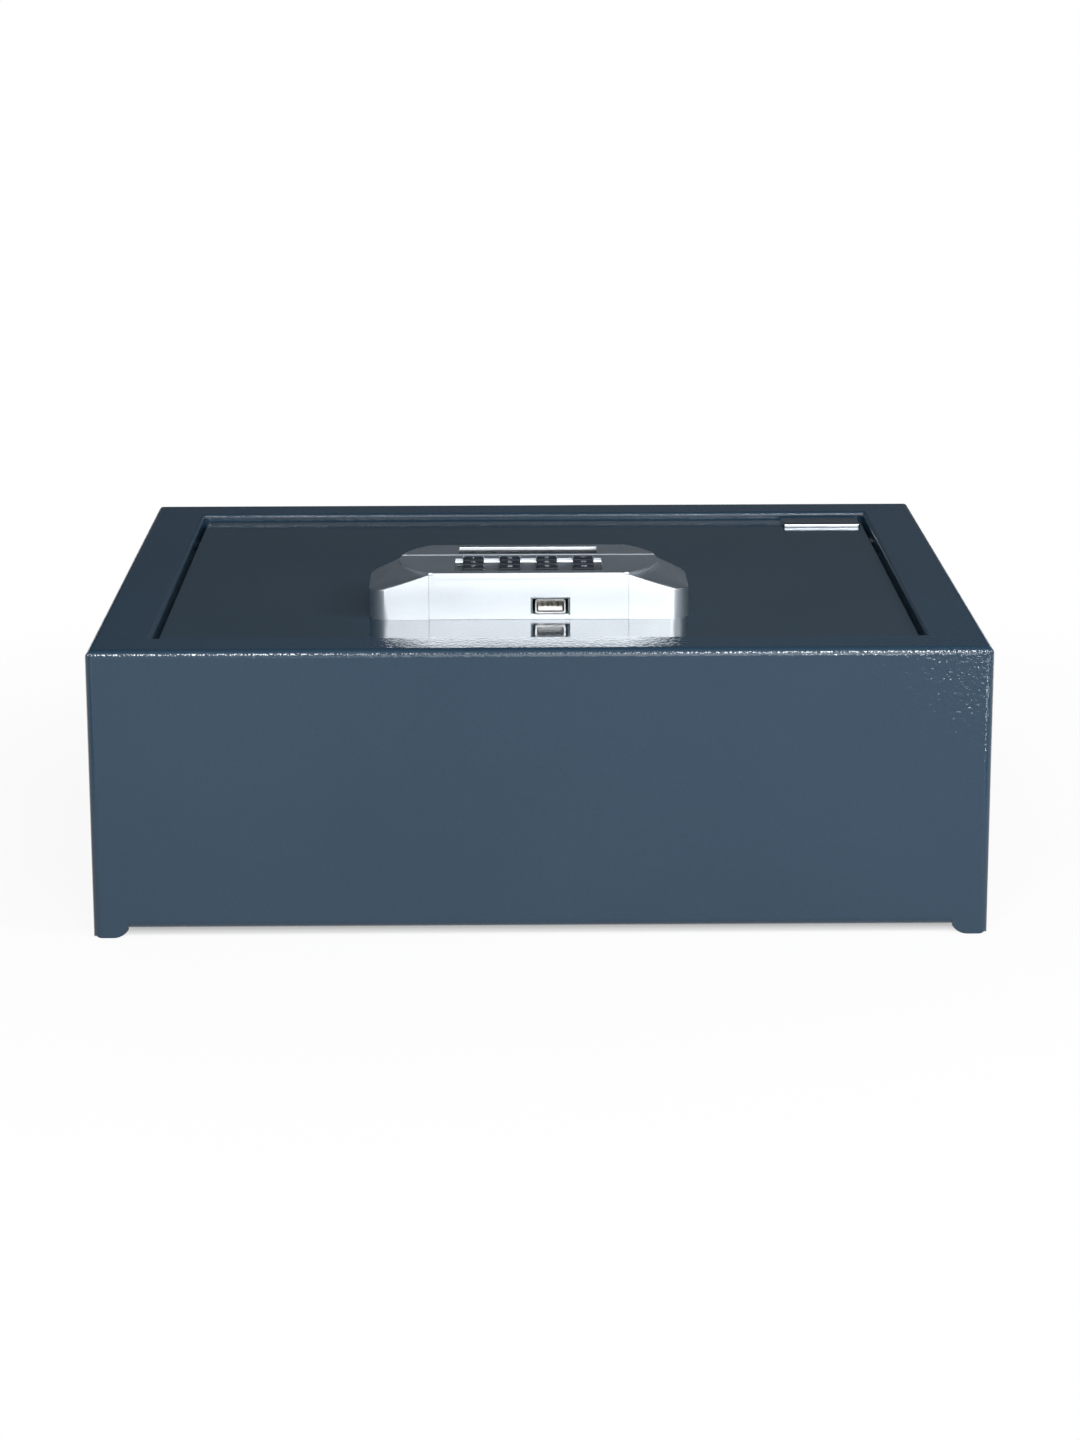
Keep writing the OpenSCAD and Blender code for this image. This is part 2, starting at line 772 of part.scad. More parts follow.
// A key: its cap in the panel's hole and the flange that keeps it under the panel
module key(row, col) {
  top = floor_z + key_up;
  bevel = 0.4;
  hu = key_w / 2;
  hv = key_d / 2;
  color([0.20, 0.23, 0.27]) on_lock() at_key(row, col) {
    intersection() {
      block([-hu, -hv, key_bot], [hu, hv, top]);
      along_x(-hu - cut, hu + cut) polygon([[-hv, key_bot], [hv, key_bot], [hv, top - bevel],
        [hv - bevel, top], [bevel - hv, top], [-hv, top - bevel]]);
      along_y(-hv - cut, hv + cut) polygon([[-hu, key_bot], [hu, key_bot], [hu, top - bevel],
        [hu - bevel, top], [bevel - hu, top], [-hu, top - bevel]]);
    }
    block([-hu - 0.8, -hv - 0.7, key_bot], [hu + 0.8, hv + 0.7, key_bot + key_flange]);
  }
}

// Outline of the port's metal shell, drawn in by d
module port_outline(d) {
  polygon(round_box(-port_w / 2 + d, -port_h / 2 + d, port_w / 2 - d, port_h / 2 - d, 1, 1));
}

// The port's metal shell: a rolled tube, closed at the back, with a flared mouth
module usb_shell() {
  color([0.8, 0.8, 0.82]) on_lock() translate([port_x, port_l + 0.2, port_z])
    rotate([90, 0, 0]) difference() {
      union() {
        linear_extrude(port_l) port_outline(0);
        translate([0, 0, port_l - 0.5]) linear_extrude(0.5) port_outline(-0.45);
      }
      translate([0, 0, port_wall]) linear_extrude(port_l) port_outline(port_wall);
    }
}

module usb_tongue() {
  hw = 5.55;
  z = port_z - 1.15;
  color("white") on_lock() {
    block([port_x - hw, 1.2, z - 0.92], [port_x + hw, port_l - 2, z + 0.92]);
    translate([port_x, port_l + 0.2 - port_wall, port_z]) rotate([90, 0, 0])
      linear_extrude(2.2 - port_wall) port_outline(port_wall + 0.05);
  }
}

module usb_contacts() {
  z = port_z - 1.15 + 0.92;
  color("gold") on_lock() for (u = [-3.5, -1, 1, 3.5])
    block([port_x + u - 0.5, 1.8, z], [port_x + u + 0.5, port_l - 2, z + 0.2]);
}

module usb_board() {
  z1 = port_z - port_h / 2;
  color(green) on_lock() block([port_x - 10, skin + 1.5, z1 - board_t],
    [port_x + 10, skin + 24, z1]);
}

// The channel that guides the bolts, spot-welded under the lid
module bolt_guide() {
  low = bolt_z - bolt_r - 3.5;
  color(steel) difference() {
    union() {
      block([-guide_x, guide_y0, low], [guide_x, guide_y0 + guide_t, lid_bot]);
      block([-guide_x, guide_y1 - guide_t, low], [guide_x, guide_y1, lid_bot]);
      block([-guide_x, guide_y0, lid_bot - guide_t], [guide_x, guide_y1, lid_bot]);
    }
    both_sides() rod_y(guide_y0 - cut, guide_y1 + cut, bolt_span / 2, bolt_z, bolt_r + bolt_play);
    block([-rack_w / 2 - 1.5, guide_y1 - guide_t - cut, low - cut],
      [rack_w / 2 + 1.5, guide_y1 + cut, bolt_z + 5.5]);
  }
}

module bolt_plate() {
  hx = bolt_span / 2 + bolt_r + 3;
  color(steel) difference() {
    block([-hx, bar_y, bolt_z - bolt_r - 1], [hx, bar_y + bar_t, bolt_z + bolt_r + 1]);
    both_sides() rod_y(bar_y - cut, bar_y + bar_t + cut, bolt_span / 2, bolt_z, bolt_r);
  }
}

// Side view of the rack: a bar with straight-sided teeth under it, in mesh with the pinion
module rack_profile() {
  pitch = PI * gear_m;
  root = pitch_z + 1.2 * gear_m;
  tip = pitch_z - rack_addendum;
  half = pitch / 4 - backlash / 2;
  lean = tan(20);
  first = ceil((rack_y0 - pinion_y) / pitch);
  last = floor((rack_y1 - pinion_y) / pitch);
  union() {
    translate([bar_y + bar_t, root]) square([rack_y1 - bar_y - bar_t, bolt_z + 3 - root]);
    for (k = [first:last - 1]) {
      c = pinion_y + (k + 0.5) * pitch;
      wide = half + (root - pitch_z + 0.1) * lean;
      slim = half - rack_addendum * lean;
      polygon([[c - wide, root + 0.1], [c - slim, tip], [c + slim, tip], [c + wide, root + 0.1]]);
    }
  }
}

module bolt_rack() {
  color(steel) along_x(-rack_w / 2, rack_w / 2) rack_profile();
}

// Two round bolts with a turned nose
module live_bolts() {
  nose = 1.2;
  color([0.72, 0.73, 0.75]) both_sides() translate([bolt_span / 2, tip_y, bolt_z])
    rotate([-90, 0, 0]) {
      translate([0, 0, nose]) cylinder(h = bolt_l - nose, r = bolt_r);
      cylinder(h = nose, r1 = bolt_r - nose, r2 = bolt_r);
    }
}

// Involute tooth flank: the point at radius r, turned by a
function flank(base, r, a) = let(
    t = sqrt(max(0, r * r / (base * base) - 1)),
    phi = a - (t * 180 / PI - atan(t)))
  [r * cos(phi), r * sin(phi)];

module pinion_profile() {
  base = pitch_r * cos(20);
  tip = pitch_r + gear_m;
  root = pitch_r - 1.15 * gear_m;
  t_p = tan(20);
  half = 90 / pinion_teeth - backlash / 2 / pitch_r * 180 / PI + t_p * 180 / PI - 20;
  steps = 5;
  union() {
    circle(r = root);
    for (k = [0:pinion_teeth - 1]) rotate([0, 0, 90 + k * 360 / pinion_teeth])
      polygon(concat([[root - 0.6, -root * sin(half)]],
        [for (i = [0:steps]) let(p = flank(base, base + (tip - base) * i / steps, half))
          [p[0], -p[1]]],
        [for (i = [steps:-1:0]) flank(base, base + (tip - base) * i / steps, half)],
        [[root - 0.6, root * sin(half)]]));
  }
}

// The pinion with its shaft, which turns in the gearbox
module drive_pinion() {
  color([0.80, 0.68, 0.35]) translate([0, pinion_y, pinion_z]) {
    along_x(-pinion_w / 2, pinion_w / 2) pinion_profile();
    rod_x(-pinion_w / 2, motor_x + 3, 0, 0, shaft_r);
  }
}

module gearmotor() {
  x1 = motor_x + gearbox_l;
  x2 = x1 + can_l;
  hw = motor_w / 2;
  hh = motor_h / 2;
  color(steel) translate([0, pinion_y, pinion_z]) difference() {
    union() {
      block([motor_x, -hw, -hh], [x1, hw, hh]);
      intersection() {
        rod_x(x1, x2, 0, 0, hw);
        block([x1, -hw, -hh], [x2, hw, hh]);
      }
      block([x2, -hw + 1, -hh + 1], [x2 + 1.5, hw - 1, hh - 1]);
    }
    rod_x(motor_x - cut, motor_x + 3.5, 0, 0, shaft_r + 0.05);
  }
}

// The plate that the gearbox is screwed to, bent over under the lid
module motor_bracket() {
  t = 2;
  color(steel) difference() {
    union() {
      block([motor_x - t, pinion_y - 9, pinion_z - 7], [motor_x, pinion_y + 9, lid_bot]);
      block([motor_x - t, pinion_y - 9, lid_bot - t], [motor_x + 18, pinion_y + 9, lid_bot]);
    }
    rod_x(motor_x - t - cut, motor_x + cut, pinion_y, pinion_z, shaft_r + 1);
  }
}

// The flat cable: down from the board, through the lid and forward to the motor
module ribbon_cable() {
  t = 1;
  y = ribbon_v + lock_y;
  top = lid_top + board_z;
  r = 4;
  z = pinion_z;
  motor_back = pinion_y + motor_w / 2;
  color([0.55, 0.57, 0.6]) along_x(lock_x + ribbon_u - 6, lock_x + ribbon_u + 6)
    polygon(concat([[y + t / 2, top], [y - t / 2, top]],
      arc(y - t / 2 - r, z + t / 2 + r, r, 0, -90, fine), [[motor_back, z + t / 2],
      [motor_back, z - t / 2]],
      arc(y - t / 2 - r, z + t / 2 + r, r + t, -90, 0, fine)));
}

// The box under the lid, with ears for its screws and rails for the battery door
module mechanism_cover() {
  hx = cover_w / 2;
  w = cover_wall;
  z0 = cover_z;
  door_y0 = tray_y - door_d / 2;
  door_y1 = tray_y + door_d / 2;
  door_x0 = tray_x - door_w / 2;
  door_x1 = tray_x + door_w / 2;
  color([0.15, 0.17, 0.19]) difference() {
    union() {
      difference() {
        union() {
          translate([0, 0, z0]) linear_extrude(cover_h)
            polygon(round_box(-hx, cover_y0, hx, cover_y1, 3, 3));
          for (s = [-1, 1], y = [cover_y0 + 14, cover_y1 - 14])
            translate([s * (hx + 6), y, lid_bot - 2]) {
              cylinder(h = 2, r = 6);
              block([min(0, -s * 8), -6, 0], [max(0, -s * 8), 6, 2]);
            }
        }
        translate([0, 0, z0 + w]) linear_extrude(cover_h)
          polygon(round_box(-hx + w, cover_y0 + w, hx - w, cover_y1 - w, 3 - w, 3 - w));
      }
      for (y = [door_y0 - seat - rail, door_y1 + seat])
        block([door_x0, y, z0 - door_t - 2 * seat - rail / 2], [door_x1, y + rail, z0]);
      for (y = [door_y0 - seat - rail, door_y1 + seat - rail])
        block([door_x0, y, z0 - door_t - 2 * seat - rail / 2],
          [door_x1, y + 2 * rail, z0 - door_t - 2 * seat]);
      block([door_x1 + seat, door_y0 - seat - rail, z0 - door_t - 2 * seat - rail / 2],
        [door_x1 + seat + rail, door_y1 + seat + rail, z0]);
    }
    translate([tray_x, tray_y, z0 - cut]) linear_extrude(w + 2 * cut)
      square([tray_in_x - 0.6, tray_in_y - 0.6], center = true);
    both_sides() rod_y(cover_y0 - cut, cover_y0 + w + cut, bolt_span / 2, bolt_z, bolt_r + 0.6);
    block([-guide_x - 0.5, cover_y0 - cut, lid_bot - guide_t - seat],
      [guide_x + 0.5, cover_y0 + w + cut, lid_bot + cut]);
    at_cover_screws() translate([0, 0, lid_bot - 2 - cut]) cylinder(h = 2 + 2 * cut, r = 2.2);
  }
}

module cover_screws() {
  color(steel) at_cover_screws() translate([0, 0, lid_bot - 2 - 2.4]) {
    cylinder(h = 2.4, r = 3.5);
    cylinder(h = 2.4 + 2 + lid_t - 1, r = 2);
  }
}

module battery_tray() {
  color(black) translate([tray_x, tray_y, tray_z]) difference() {
    translate([0, 0, (tray_in_h + 1.6) / 2])
      cube([tray_in_x + 2 * tray_wall, tray_in_y + 2 * tray_wall, tray_in_h + 1.6], center = true);
    translate([0, 0, tray_in_h / 2 - cut / 2])
      cube([tray_in_x, tray_in_y, tray_in_h + cut], center = true);
  }
}

// Round cells side by side, every second one turned end for end
module batteries() {
  z = tray_z + tray_in_h - 0.3 - cell_r;
  color([0.55, 0.25, 0.12]) for (i = [0:cells - 1]) {
    turn = i % 2 == 0 ? 1 : -1;
    translate([tray_x + (i - (cells - 1) / 2) * cell_pitch, tray_y, z]) scale([1, turn, 1]) {
      rod_y(-cell_l / 2 - 1, cell_l / 2 - 1, 0, 0, cell_r);
      rod_y(cell_l / 2 - 1.1, cell_l / 2, 0, 0, 2.75);
    }
  }
}

// A spring plate and a flat plate for each cell, against the tray's ends
module battery_contacts() {
  z = tray_z + tray_in_h - 0.3 - cell_r;
  t = 0.5;
  end = tray_in_y / 2;
  color([0.8, 0.78, 0.7]) for (i = [0:cells - 1]) {
    turn = i % 2 == 0 ? 1 : -1;
    translate([tray_x + (i - (cells - 1) / 2) * cell_pitch, tray_y, z]) scale([1, turn, 1]) {
      block([-4, -end, -4], [4, -end + t, 4]);
      rod_y(-end + t, -cell_l / 2 - 1, 0, 0, 2.5);
      block([-4, cell_l / 2, -4], [4, cell_l / 2 + t, 4]);
      block([-2, cell_l / 2 + t, -2], [2, end, 2]);
    }
  }
}

// The sliding door under the batteries, with grip ribs
module battery_door() {
  z1 = cover_z - seat;
  hx = door_w / 2;
  hy = door_d / 2;
  color(black) translate([tray_x, tray_y, 0]) {
    block([-hx, -hy, z1 - door_t], [hx, hy, z1]);
    for (i = [0:4]) block([-hx + 5 + 3 * i, -12, z1 - door_t - 0.8],
      [-hx + 6.2 + 3 * i, 12, z1 - door_t]);
  }
}

body_shell();
base_plate();
floor_mat();
hinge_bracket_left();
hinge_bracket_right();
hinge_pins();
lid_buffers();
lid_plate();
hinge_lug_left();
hinge_lug_right();
name_plate();
lock_housing();
housing_screws();
front_fascia();
keypad_panel();
display_panel();
display_window();
display_module();
circuit_board();
board_standoffs();
keypad_mat();
status_lamp();
buzzer();
usb_shell();
usb_tongue();
usb_contacts();
usb_board();
bolt_guide();
bolt_plate();
bolt_rack();
live_bolts();
drive_pinion();
gearmotor();
motor_bracket();
ribbon_cable();
mechanism_cover();
cover_screws();
battery_tray();
batteries();
battery_contacts();
battery_door();
for (row = [0:2], col = [0:3])
  key(row, col);
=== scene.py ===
import json
import math

import bpy
from mathutils import Matrix, Vector

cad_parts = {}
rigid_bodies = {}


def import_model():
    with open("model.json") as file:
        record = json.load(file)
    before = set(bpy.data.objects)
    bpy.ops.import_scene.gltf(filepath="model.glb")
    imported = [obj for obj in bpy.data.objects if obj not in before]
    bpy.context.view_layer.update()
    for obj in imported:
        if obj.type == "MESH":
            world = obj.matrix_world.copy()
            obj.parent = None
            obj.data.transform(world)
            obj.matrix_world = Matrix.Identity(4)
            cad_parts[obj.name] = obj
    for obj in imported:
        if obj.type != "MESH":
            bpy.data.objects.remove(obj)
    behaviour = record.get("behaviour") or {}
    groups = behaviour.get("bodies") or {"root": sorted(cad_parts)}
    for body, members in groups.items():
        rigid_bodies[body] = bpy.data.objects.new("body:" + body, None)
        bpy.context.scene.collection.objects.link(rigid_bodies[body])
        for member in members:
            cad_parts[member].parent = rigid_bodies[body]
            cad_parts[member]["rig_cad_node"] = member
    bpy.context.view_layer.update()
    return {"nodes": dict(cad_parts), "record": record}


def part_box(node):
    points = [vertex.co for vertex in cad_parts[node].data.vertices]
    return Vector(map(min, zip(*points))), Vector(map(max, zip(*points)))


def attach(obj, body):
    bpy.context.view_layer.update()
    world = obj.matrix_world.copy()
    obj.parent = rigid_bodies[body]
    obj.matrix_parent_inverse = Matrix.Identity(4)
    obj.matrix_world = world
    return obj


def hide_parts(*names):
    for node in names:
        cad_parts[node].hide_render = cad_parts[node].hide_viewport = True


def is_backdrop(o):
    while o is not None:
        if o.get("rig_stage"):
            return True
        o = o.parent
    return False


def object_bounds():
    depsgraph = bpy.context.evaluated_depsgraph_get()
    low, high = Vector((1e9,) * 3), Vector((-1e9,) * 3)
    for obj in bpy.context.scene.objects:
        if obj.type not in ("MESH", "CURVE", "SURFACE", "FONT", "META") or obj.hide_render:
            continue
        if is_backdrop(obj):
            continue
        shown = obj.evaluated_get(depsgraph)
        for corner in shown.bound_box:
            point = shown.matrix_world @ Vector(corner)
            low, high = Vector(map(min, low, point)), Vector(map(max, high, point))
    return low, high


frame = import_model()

nodes = frame["nodes"]
body_of_node = {node: body for body, members in frame["record"]["behaviour"]["bodies"].items()
                for node in members}
slot_of = {part["node"]: part["material_slot"] for part in frame["record"]["subparts"]}


# Selecting and shaping

sharp_angle = 35
tiniest_area = 1e-12
merge_distance = 2e-6
flat_angle = 0.5


def only(piece):
    """Selects one piece alone and makes it the active one."""
    bpy.ops.object.select_all(action="DESELECT")
    piece.select_set(True)
    bpy.context.view_layer.objects.active = piece


def apply_modifier(piece, kind, **values):
    """Adds a modifier with these values and applies it."""
    modifier = piece.modifiers.new(kind.lower(), kind)
    for name, value in values.items():
        setattr(modifier, name, value)
    only(piece)
    bpy.ops.object.modifier_apply(modifier=modifier.name)


def round_edges(piece, width, steps):
    """Rounds the sharp edges."""
    apply_modifier(piece, "BEVEL", width=width, segments=steps, limit_method="ANGLE",
                   angle_limit=math.radians(sharp_angle), use_clamp_overlap=True)


def smooth_faces(piece, angle):
    """Shades the bends smoothly and keeps the flat faces flat: large faces win at each corner."""
    only(piece)
    bpy.ops.object.shade_smooth()
    mesh = piece.data
    faces_at = [[] for _ in mesh.vertices]
    for face in mesh.polygons:
        for corner in face.vertices:
            faces_at[corner].append(face.index)
    normals = [face.normal.copy() for face in mesh.polygons]
    weights = [max(face.area, tiniest_area) for face in mesh.polygons]
    limit = math.cos(math.radians(angle))
    corners = []
    for face in mesh.polygons:
        own = normals[face.index]
        for corner in face.vertices:
            total = Vector()
            for other in faces_at[corner]:
                if normals[other].dot(own) > limit:
                    total += normals[other] * weights[other]
            corners.append(total.normalized())
    mesh.normals_split_custom_set(corners)


def finished_copy(node, edge=0.0, steps=2):
    """A merged copy of a part with its edges rounded, which stands for the part."""
    only(nodes[node])
    bpy.ops.object.duplicate()
    piece = bpy.context.object
    piece.name = node + "_finished"
    del piece["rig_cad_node"]
    bpy.ops.object.mode_set(mode="EDIT")
    bpy.ops.mesh.select_all(action="SELECT")
    bpy.ops.mesh.remove_doubles(threshold=merge_distance)
    bpy.ops.mesh.dissolve_limited(angle_limit=math.radians(flat_angle))
    bpy.ops.object.mode_set(mode="OBJECT")
    if edge:
        round_edges(piece, edge, steps)
    smooth_faces(piece, sharp_angle)
    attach(piece, body_of_node[node])
    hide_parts(node)


# Finishes

def finish_named(name):
    """A new node material, with its tree, its surface shader and the place in the part's frame."""
    material = bpy.data.materials.new(name)
    material.use_nodes = True
    tree = material.node_tree
    surface = tree.nodes["Principled BSDF"]
    place = tree.nodes.new("ShaderNodeTexCoord").outputs["Object"]
    return material, tree, surface, place


def noise(tree, place, scale, detail=2.0, rough=0.5, stretch=None):
    """A noise pattern over the place, stretched along an axis if asked."""
    texture = tree.nodes.new("ShaderNodeTexNoise")
    texture.inputs["Scale"].default_value = scale
    texture.inputs["Detail"].default_value = detail
    texture.inputs["Roughness"].default_value = rough
    if stretch:
        mapping = tree.nodes.new("ShaderNodeMapping")
        mapping.inputs["Scale"].default_value = stretch
        tree.links.new(place, mapping.inputs["Vector"])
        place = mapping.outputs["Vector"]
    tree.links.new(place, texture.inputs["Vector"])
    return texture.outputs["Fac"]


def spread(tree, value, low, high, from_low=0.3, from_high=0.7):
    """Maps a pattern's value from one range to another."""
    node = tree.nodes.new("ShaderNodeMapRange")
    node.inputs["From Min"].default_value = from_low
    node.inputs["From Max"].default_value = from_high
    node.inputs["To Min"].default_value = low
    node.inputs["To Max"].default_value = high
    tree.links.new(value, node.inputs["Value"])
    return node.outputs["Result"]


def blend_colours(tree, factor, first, second):
    """Mixes two colours, or a colour and a socket, by a pattern."""
    node = tree.nodes.new("ShaderNodeMix")
    node.data_type = "RGBA"
    tree.links.new(factor, node.inputs[0])
    for socket, colour in ((node.inputs[6], first), (node.inputs[7], second)):
        if isinstance(colour, bpy.types.NodeSocket):
            tree.links.new(colour, socket)
        else:
            socket.default_value = (*colour, 1)
    return node.outputs[2]


def join_values(tree, operation, first, second):
    """Joins two values by a sum, a product, a maximum or the like."""
    node = tree.nodes.new("ShaderNodeMath")
    node.operation = operation
    tree.links.new(first, node.inputs[0])
    tree.links.new(second, node.inputs[1])
    return node.outputs[0]


def vector_node(tree, operation, vector, other=None):
    """A step of vector arithmetic on a pattern's place."""
    node = tree.nodes.new("ShaderNodeVectorMath")
    node.operation = operation
    tree.links.new(vector, node.inputs[0])
    if other:
        node.inputs[1].default_value = other
    return node


def bump(tree, height, depth):
    """Turns a height pattern into a normal."""
    node = tree.nodes.new("ShaderNodeBump")
    node.inputs["Distance"].default_value = depth
    tree.links.new(height, node.inputs["Height"])
    return node.outputs["Normal"]


peel_scale = 620
coarse_factor = 4.2
coarse_reach = 0.06
# The painted highlights along a bend: pale specks in the coat's colour that stand for glints of the
# lamps.
painted_glint_scale = 1500
painted_glint_colour = (0.70, 0.76, 0.80)
bend_inner = 0.0002
bend_outer = 0.0006
lock_middle = (-0.015, 0, 0)
few_within = 0.03
all_beyond = 0.1


def glint_share(tree, place, bend):
    """The share of painted highlights along a bend that runs in X: pale specks that stand for
    glints of the lamps, fainter in front of the lock.
    """
    across = vector_node(tree, "MULTIPLY", place, (0, 1, 1)).outputs["Vector"]
    away = vector_node(tree, "DISTANCE", across, bend).outputs["Value"]
    along = vector_node(tree, "MULTIPLY", place, (1, 0, 0)).outputs["Vector"]
    off_lock = vector_node(tree, "DISTANCE", along, lock_middle).outputs["Value"]
    grains = spread(tree, noise(tree, place, painted_glint_scale, 0), 0, 1, 0.55, 0.62)
    line = join_values(tree, "MULTIPLY", spread(tree, away, 1, 0, bend_inner, bend_outer),
                       spread(tree, off_lock, 0.2, 1, few_within, all_beyond))
    return join_values(tree, "MULTIPLY", line, grains)


def powder_coat(name, deep, pale, coat_index, peel_depth, coarse_at=None, painted_glints_at=None):
    """Powder coat: a glossy skin with an orange-peel texture and faint clouds in its colour. Near
    one corner, if given, the texture is coarser. Along one bend, if given, painted highlights stand
    for the grains that catch the light: pale specks in the colour."""
    material, tree, surface, place = finish_named(name)
    clouds = noise(tree, place, 9, 3)
    colour = blend_colours(tree, spread(tree, clouds, 0, 1), deep, pale)
    # Painted highlights: pale specks mixed into the colour along the bend stand for glints of the
    # lamps.
    if painted_glints_at:
        colour = blend_colours(tree, glint_share(tree, place, painted_glints_at), colour, painted_glint_colour)
    tree.links.new(colour, surface.inputs["Base Color"])
    tree.links.new(spread(tree, noise(tree, place, 60, 2), 0.4, 0.48), surface.inputs["Roughness"])
    peel = bump(tree, noise(tree, place, peel_scale, 1.5), peel_depth)
    if coarse_at:
        away = vector_node(tree, "DISTANCE", place, coarse_at).outputs["Value"]
        depth = spread(tree, away, coarse_factor * peel_depth, peel_depth, 0.0, coarse_reach)
        tree.links.new(depth, peel.node.inputs["Distance"])
    tree.links.new(peel, surface.inputs["Normal"])
    tree.links.new(peel, surface.inputs["Coat Normal"])
    surface.inputs["Coat Weight"].default_value = 1.0
    surface.inputs["Coat Roughness"].default_value = 0.05
    surface.inputs["Coat IOR"].default_value = coat_index
    surface.inputs["Specular IOR Level"].default_value = 0.0
    return material


def silver_lacquer():
    """Silver lacquer on a moulding: fine metallic flakes under a satin skin."""
    material, tree, surface, place = finish_named("silver_lacquer")
    flakes = noise(tree, place, 1700, 2)
    colour = blend_colours(tree, spread(tree, flakes, 0, 1), (0.86, 0.92, 0.98), (0.90, 0.96, 1.0))
    tree.links.new(colour, surface.inputs["Base Color"])
    tree.links.new(spread(tree, noise(tree, place, 45, 3), 0.37, 0.42), surface.inputs["Roughness"])
    surface.inputs["Metallic"].default_value = 1.0
    surface.inputs["Coat Weight"].default_value = 1.0
    surface.inputs["Coat Roughness"].default_value = 0.12
    return material


metal_grain_depth = 0.00001


def metal(name, colour, rough, brushed=None):
    """Bare or plated metal with a fine grain, drawn out along one axis if brushed."""
    material, tree, surface, place = finish_named(name)
    grain = noise(tree, place, 900, 3, 0.6, brushed)
    darker = tuple(0.8 * c for c in colour)
    tint = blend_colours(tree, spread(tree, noise(tree, place, 70, 4), 0, 1), darker, colour)
    tree.links.new(tint, surface.inputs["Base Color"])
    tree.links.new(spread(tree, grain, rough - 0.06, rough + 0.08), surface.inputs["Roughness"])
    tree.links.new(bump(tree, grain, metal_grain_depth), surface.inputs["Normal"])
    surface.inputs["Metallic"].default_value = 1.0
    return material


def moulded(name, colour, rough, scale=1800, depth=0.00002, gloss=0.5):
    """Moulded plastic or rubber with a fine grain and slight wear in its tone."""
    material, tree, surface, place = finish_named(name)
    lighter = tuple(min(1.0, 1.25 * c + 0.004) for c in colour)
    tint = blend_colours(tree, spread(tree, noise(tree, place, 110, 4), 0, 1), colour, lighter)
    tree.links.new(tint, surface.inputs["Base Color"])
    grain = noise(tree, place, scale, 2)
    tree.links.new(spread(tree, grain, rough - 0.05, rough + 0.07), surface.inputs["Roughness"])
    tree.links.new(bump(tree, grain, depth), surface.inputs["Normal"])
    surface.inputs["Specular IOR Level"].default_value = gloss
    return material


front_right_corner = (0.2, -0.175, 0.132)
front_bend = (0, -0.1745, 0.1295)
# The body's coat has painted highlights along its front bend.
body_paint = powder_coat("body_powder_coat", (0.019, 0.043, 0.072), (0.022, 0.047, 0.077), 1.4,
                         0.00015, front_right_corner, front_bend)
lid_paint = powder_coat("lid_powder_coat", (0.021, 0.040, 0.060), (0.025, 0.045, 0.066), 1.33,
                        0.00006)
silver = silver_lacquer()
zinc = metal("zinc_plate", (0.52, 0.54, 0.57), 0.32)
polished = metal("turned_steel", (0.62, 0.63, 0.65), 0.2, (1, 1, 14))
nickel = metal("nickel_sheet", (0.78, 0.78, 0.78), 0.16)
brass = metal("machined_brass", (0.72, 0.52, 0.20), 0.25)
gold = metal("gold_flash", (0.42, 0.33, 0.17), 0.3)
plate_metal = metal("bare_plate", (0.54, 0.59, 0.64), 0.18, (14, 1, 1))
black_plastic = moulded("black_plastic", (0.018, 0.020, 0.023), 0.48)
pale_plastic = moulded("pale_plastic", (0.86, 0.86, 0.83), 0.4)
# Painted shade: a dark grey for the floor of the keypad's recess.
recess_shade_grey = moulded("recess_shade_grey", (0.080, 0.092, 0.108), 0.6, gloss=0.1)
# Painted shade: a grey for the split line between the keypad and display panels.
seam_shade_grey = moulded("seam_shade_grey", (0.42, 0.46, 0.50), 0.6, gloss=0.1)
key_plastic = moulded("key_plastic", (0.016, 0.021, 0.030), 0.5, gloss=0.25)
figure_ink = moulded("figure_ink", (0.42, 0.45, 0.48), 0.5)
window_black = moulded("tinted_window", (0.006, 0.008, 0.010), 0.5, 300, 0.000002, 0.04)
board_mask = moulded("board_mask", (0.010, 0.075, 0.035), 0.3)
grey_rubber = moulded("grey_rubber", (0.20, 0.21, 0.22), 0.6)
black_rubber = moulded("black_rubber", (0.012, 0.012, 0.013), 0.7)
felt = moulded("needle_felt", (0.022, 0.023, 0.026), 0.95, 2600, 0.0004, 0.1)
ribbon_skin = moulded("ribbon_skin", (0.32, 0.33, 0.35), 0.5)
cell_wrap = moulded("cell_wrap", (0.22, 0.07, 0.02), 0.25)
lamp_lens = moulded("lamp_lens", (0.02, 0.035, 0.03), 0.2)

finishes = {
    "grey_paint": lid_paint, "floor_felt": felt, "zinc_steel": zinc, "black_rubber": black_rubber,
    "plate_silver": plate_metal, "silver_plastic": silver, "window_black": window_black,
    "pale_plastic": pale_plastic, "board_green": board_mask, "grey_rubber": grey_rubber,
    "lamp_lens": lamp_lens, "black_plastic": black_plastic, "port_steel": nickel,
    "contact_gold": gold, "bolt_steel": polished, "pinion_brass": brass,
    "ribbon_grey": ribbon_skin, "cell_wrap": cell_wrap, "key_plastic": key_plastic,
}


def give(piece, material):
    """Gives the whole piece one material."""
    piece.data.materials.clear()
    piece.data.materials.append(material)


for name, part in nodes.items():
    give(part, finishes[slot_of[name]])
for name in ("body_shell", "base_plate"):
    give(nodes[name], body_paint)


# The pieces with rounded edges, and the body shell, which is only shaded smoothly

